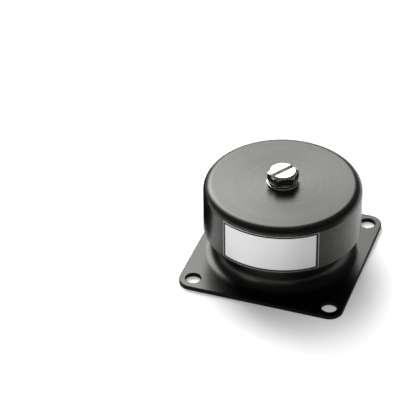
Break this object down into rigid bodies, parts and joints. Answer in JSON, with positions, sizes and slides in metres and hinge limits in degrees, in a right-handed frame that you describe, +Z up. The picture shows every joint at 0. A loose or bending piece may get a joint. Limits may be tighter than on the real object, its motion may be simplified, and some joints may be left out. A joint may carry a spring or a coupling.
{
  "type": "rubber anti-vibration mount",
  "caption": "Plate-type rubber vibration isolator: a capped, rubber-sprung core with a load bolt over a square drawn base with corner fixing holes.",
  "frame": {"origin": "centre of the base plate's underside, on the load bolt's axis", "axes": "+Z up along the load bolt; X and Y along the sides of the square plate"},
  "size_m": [0.06, 0.06, 0.0371],
  "materials": {
    "black_base": "satin black over pressed steel",
    "black_cap": "black anodised, finely turned",
    "silver_label": "satin foil",
    "bright_nickel": "bright nickel plate",
    "plain_steel": "zinc plated",
    "spring_steel": "phosphated",
    "element_rubber": "moulded",
    "stop_rubber": "moulded"
  },
  "bodies": {
    "base": {"base_housing": "black_base", "outer_sleeve": "plain_steel", "retaining_ring": "spring_steel", "bump_ring": "stop_rubber", "rubber_element": "element_rubber"},
    "cap": {"core_bush": "plain_steel", "rebound_washer": "plain_steel", "rebound_pad": "stop_rubber", "rebound_screw": "bright_nickel", "cap": "black_cap", "label_plate": "silver_label", "flat_washer": "bright_nickel", "spring_washer": "bright_nickel", "load_bolt": "bright_nickel"}
  },
  "joints": [
    {"name": "core_bob", "type": "slide", "parent": "base", "child": "cap", "axis": [0, 0, 1], "range_m": [-0.004, 0.002], "stiffness_N_per_m": 17700, "deforming": ["rubber_element"]}
  ]
}
